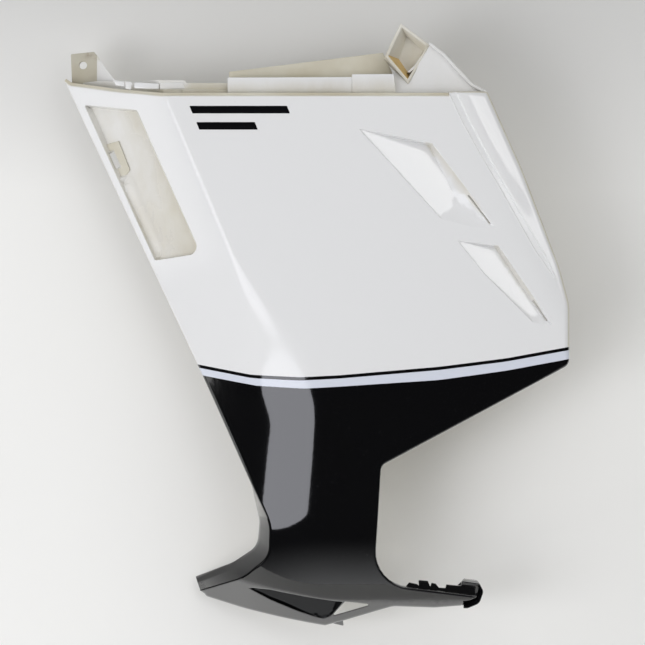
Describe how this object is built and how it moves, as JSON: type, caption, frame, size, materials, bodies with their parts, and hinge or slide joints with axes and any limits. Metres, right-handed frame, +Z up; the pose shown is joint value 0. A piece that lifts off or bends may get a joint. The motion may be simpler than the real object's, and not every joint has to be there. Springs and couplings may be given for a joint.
{
  "type": "scooter front side panel",
  "caption": "Moulded front side fairing panel for a scooter: flat upper face with two vents and a window pocket, narrow neck, flared foot, screw tab and socket at the top.",
  "frame": {"origin": "centre of the screw hole in the upper tab, at the tab's outer face", "axes": "upright as fitted: +X towards the rear of the vehicle, +Y inboard, away from the viewer, +Z up"},
  "size_m": [0.4114, 0.1, 0.4952],
  "materials": {
    "white_shell": "gloss white lacquer on plastic, bare cream plastic on the hidden flanges",
    "black_coat": "gloss black lacquer",
    "stripe_film": "gloss film",
    "accent_film": "gloss film"
  },
  "bodies": {
    "root": {"panel": "white_shell", "lower_black_coat": "black_coat", "pinstripe": "stripe_film", "accent_bars": "accent_film"}
  },
  "joints": []
}
